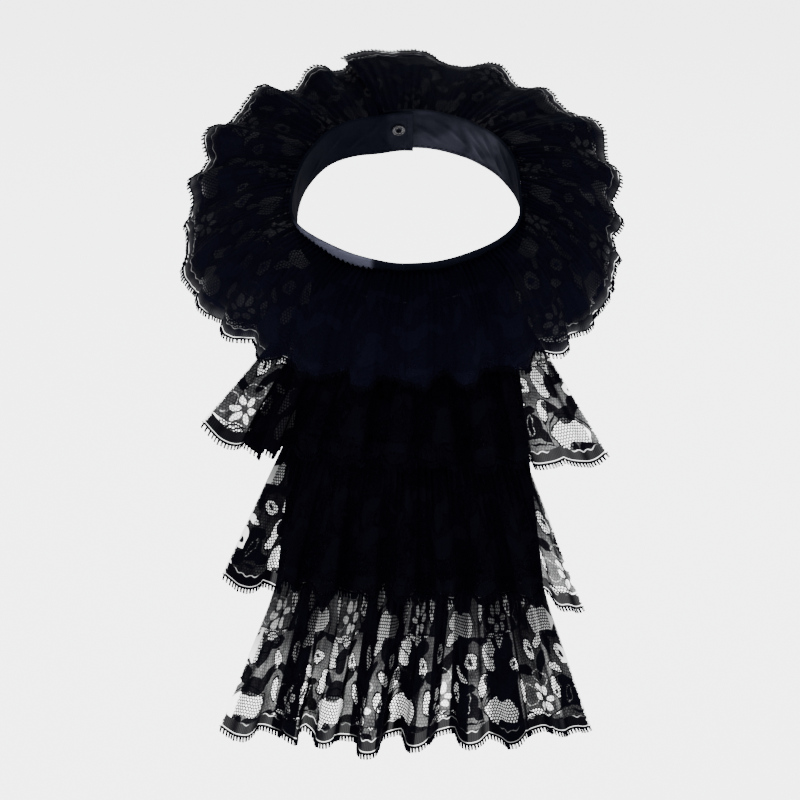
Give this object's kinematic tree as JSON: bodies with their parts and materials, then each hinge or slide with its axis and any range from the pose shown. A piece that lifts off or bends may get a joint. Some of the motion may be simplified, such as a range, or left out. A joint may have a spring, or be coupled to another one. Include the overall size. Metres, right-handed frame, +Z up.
{
  "type": "lace jabot",
  "caption": "Worn black lace jabot: satin neckband snapped behind, gathered lace ruff all round, three gathered lace tiers hanging in front on a satin panel.",
  "frame": {"origin": "middle of the neckband, where the wearer's neck holds the jabot up", "axes": "+Z up, -Y the way the wearer looks, +X to the right seen from in front"},
  "size_m": [0.236, 0.2543, 0.3168],
  "materials": {
    "neckband": "black satin with a soft sheen",
    "snap_ring": "black enamelled metal",
    "snap_disc": "black enamelled metal",
    "collar_ruff": "matt black lace",
    "jabot_panel": "black satin with a soft sheen",
    "tier_1": "matt black lace",
    "tier_2": "matt black lace",
    "tier_3": "matt black lace"
  },
  "bodies": {
    "root": {"neckband": "neckband", "snap_ring": "snap_ring", "snap_disc": "snap_disc", "collar_ruff": "collar_ruff", "jabot_panel": "jabot_panel", "tier_1": "tier_1", "tier_2": "tier_2", "tier_3": "tier_3"}
  },
  "joints": []
}
